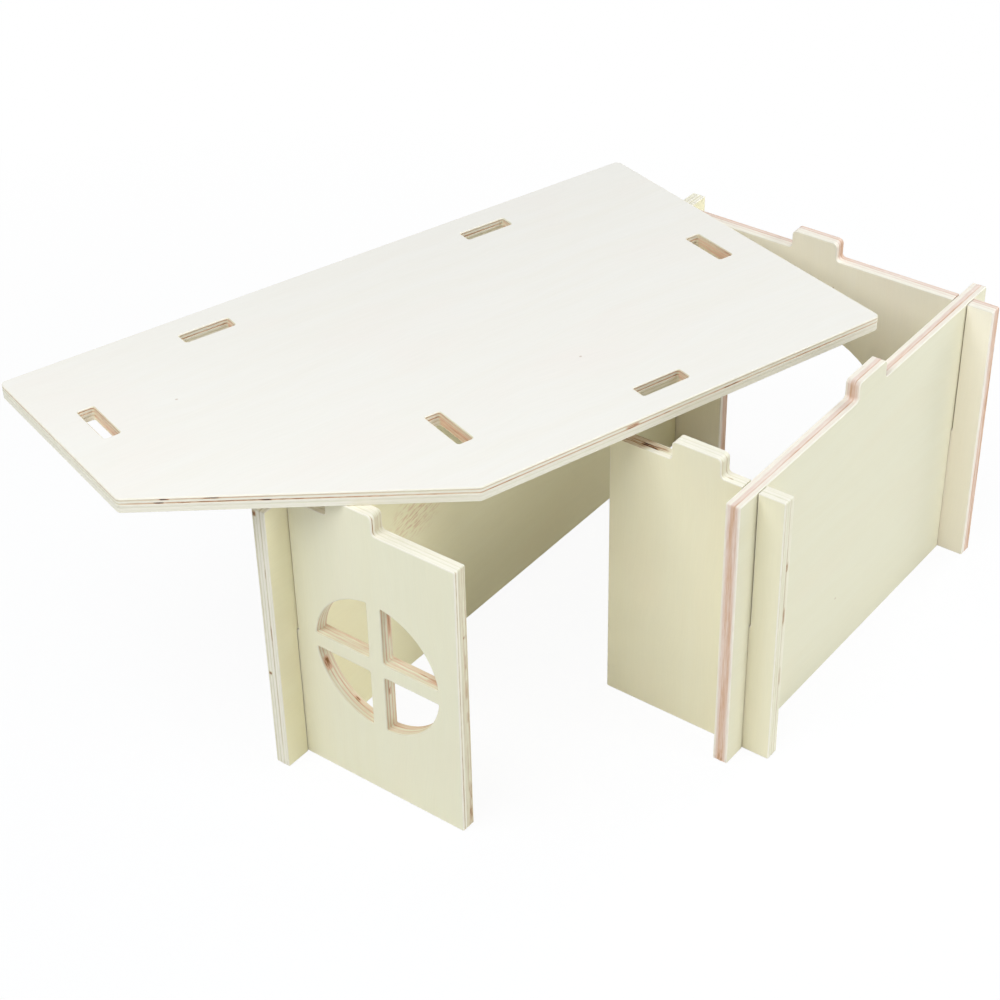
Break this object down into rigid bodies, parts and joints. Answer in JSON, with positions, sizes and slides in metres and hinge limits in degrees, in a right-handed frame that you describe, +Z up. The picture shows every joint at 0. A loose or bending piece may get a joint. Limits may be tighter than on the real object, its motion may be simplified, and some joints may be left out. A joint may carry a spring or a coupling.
{
  "type": "rabbit house",
  "caption": "Flat-pack plywood house for a rabbit: cross-halved walls with a round barred window, an arched doorway and an open corner, under a loose roof panel with slots for the wall tabs.",
  "frame": {"origin": "on the floor, where the middle planes of the back wall and the window wall cross", "axes": "+X from the back wall to the front wall, +Y along the back wall from the window wall to the doorway wall, +Z up"},
  "size_m": [0.5323, 0.6448, 0.268],
  "materials": {
    "wall_plywood": "sanded bare poplar plywood, pale cream with a faint green-yellow cast, five plies showing at the edges",
    "roof_plywood": "sanded bare poplar plywood, paler than the walls, with red-brown streaks in the edge plies"
  },
  "bodies": {
    "doorway_wall": {"doorway_wall": "wall_plywood"},
    "back_wall": {"back_wall": "wall_plywood"},
    "window_wall": {"window_wall": "wall_plywood"},
    "front_wall": {"front_wall": "wall_plywood"},
    "entrance_wall": {"entrance_wall": "wall_plywood"},
    "roof_panel": {"roof_panel": "roof_plywood"}
  },
  "joints": [
    {"name": "back_wall_lift", "type": "slide", "parent": "doorway_wall", "child": "back_wall", "axis": [0, 0, 1], "range_m": [0, 0.125]},
    {"name": "window_wall_slide", "type": "slide", "parent": "back_wall", "child": "window_wall", "axis": [0, 0, -1], "range_m": [0, 0.125]},
    {"name": "front_wall_lift", "type": "slide", "parent": "doorway_wall", "child": "front_wall", "axis": [0, 0, 1], "range_m": [0, 0.125]},
    {"name": "entrance_wall_slide", "type": "slide", "parent": "front_wall", "child": "entrance_wall", "axis": [0, 0, -1], "range_m": [0, 0.125]},
    {"name": "roof_lift", "type": "slide", "parent": "back_wall", "child": "roof_panel", "axis": [0, 0, 1], "range_m": [0, 0.25]}
  ],
  "couplings": [
    {"joint": "window_wall_slide", "follows": "back_wall_lift", "ratio": 1},
    {"joint": "entrance_wall_slide", "follows": "front_wall_lift", "ratio": 1}
  ]
}
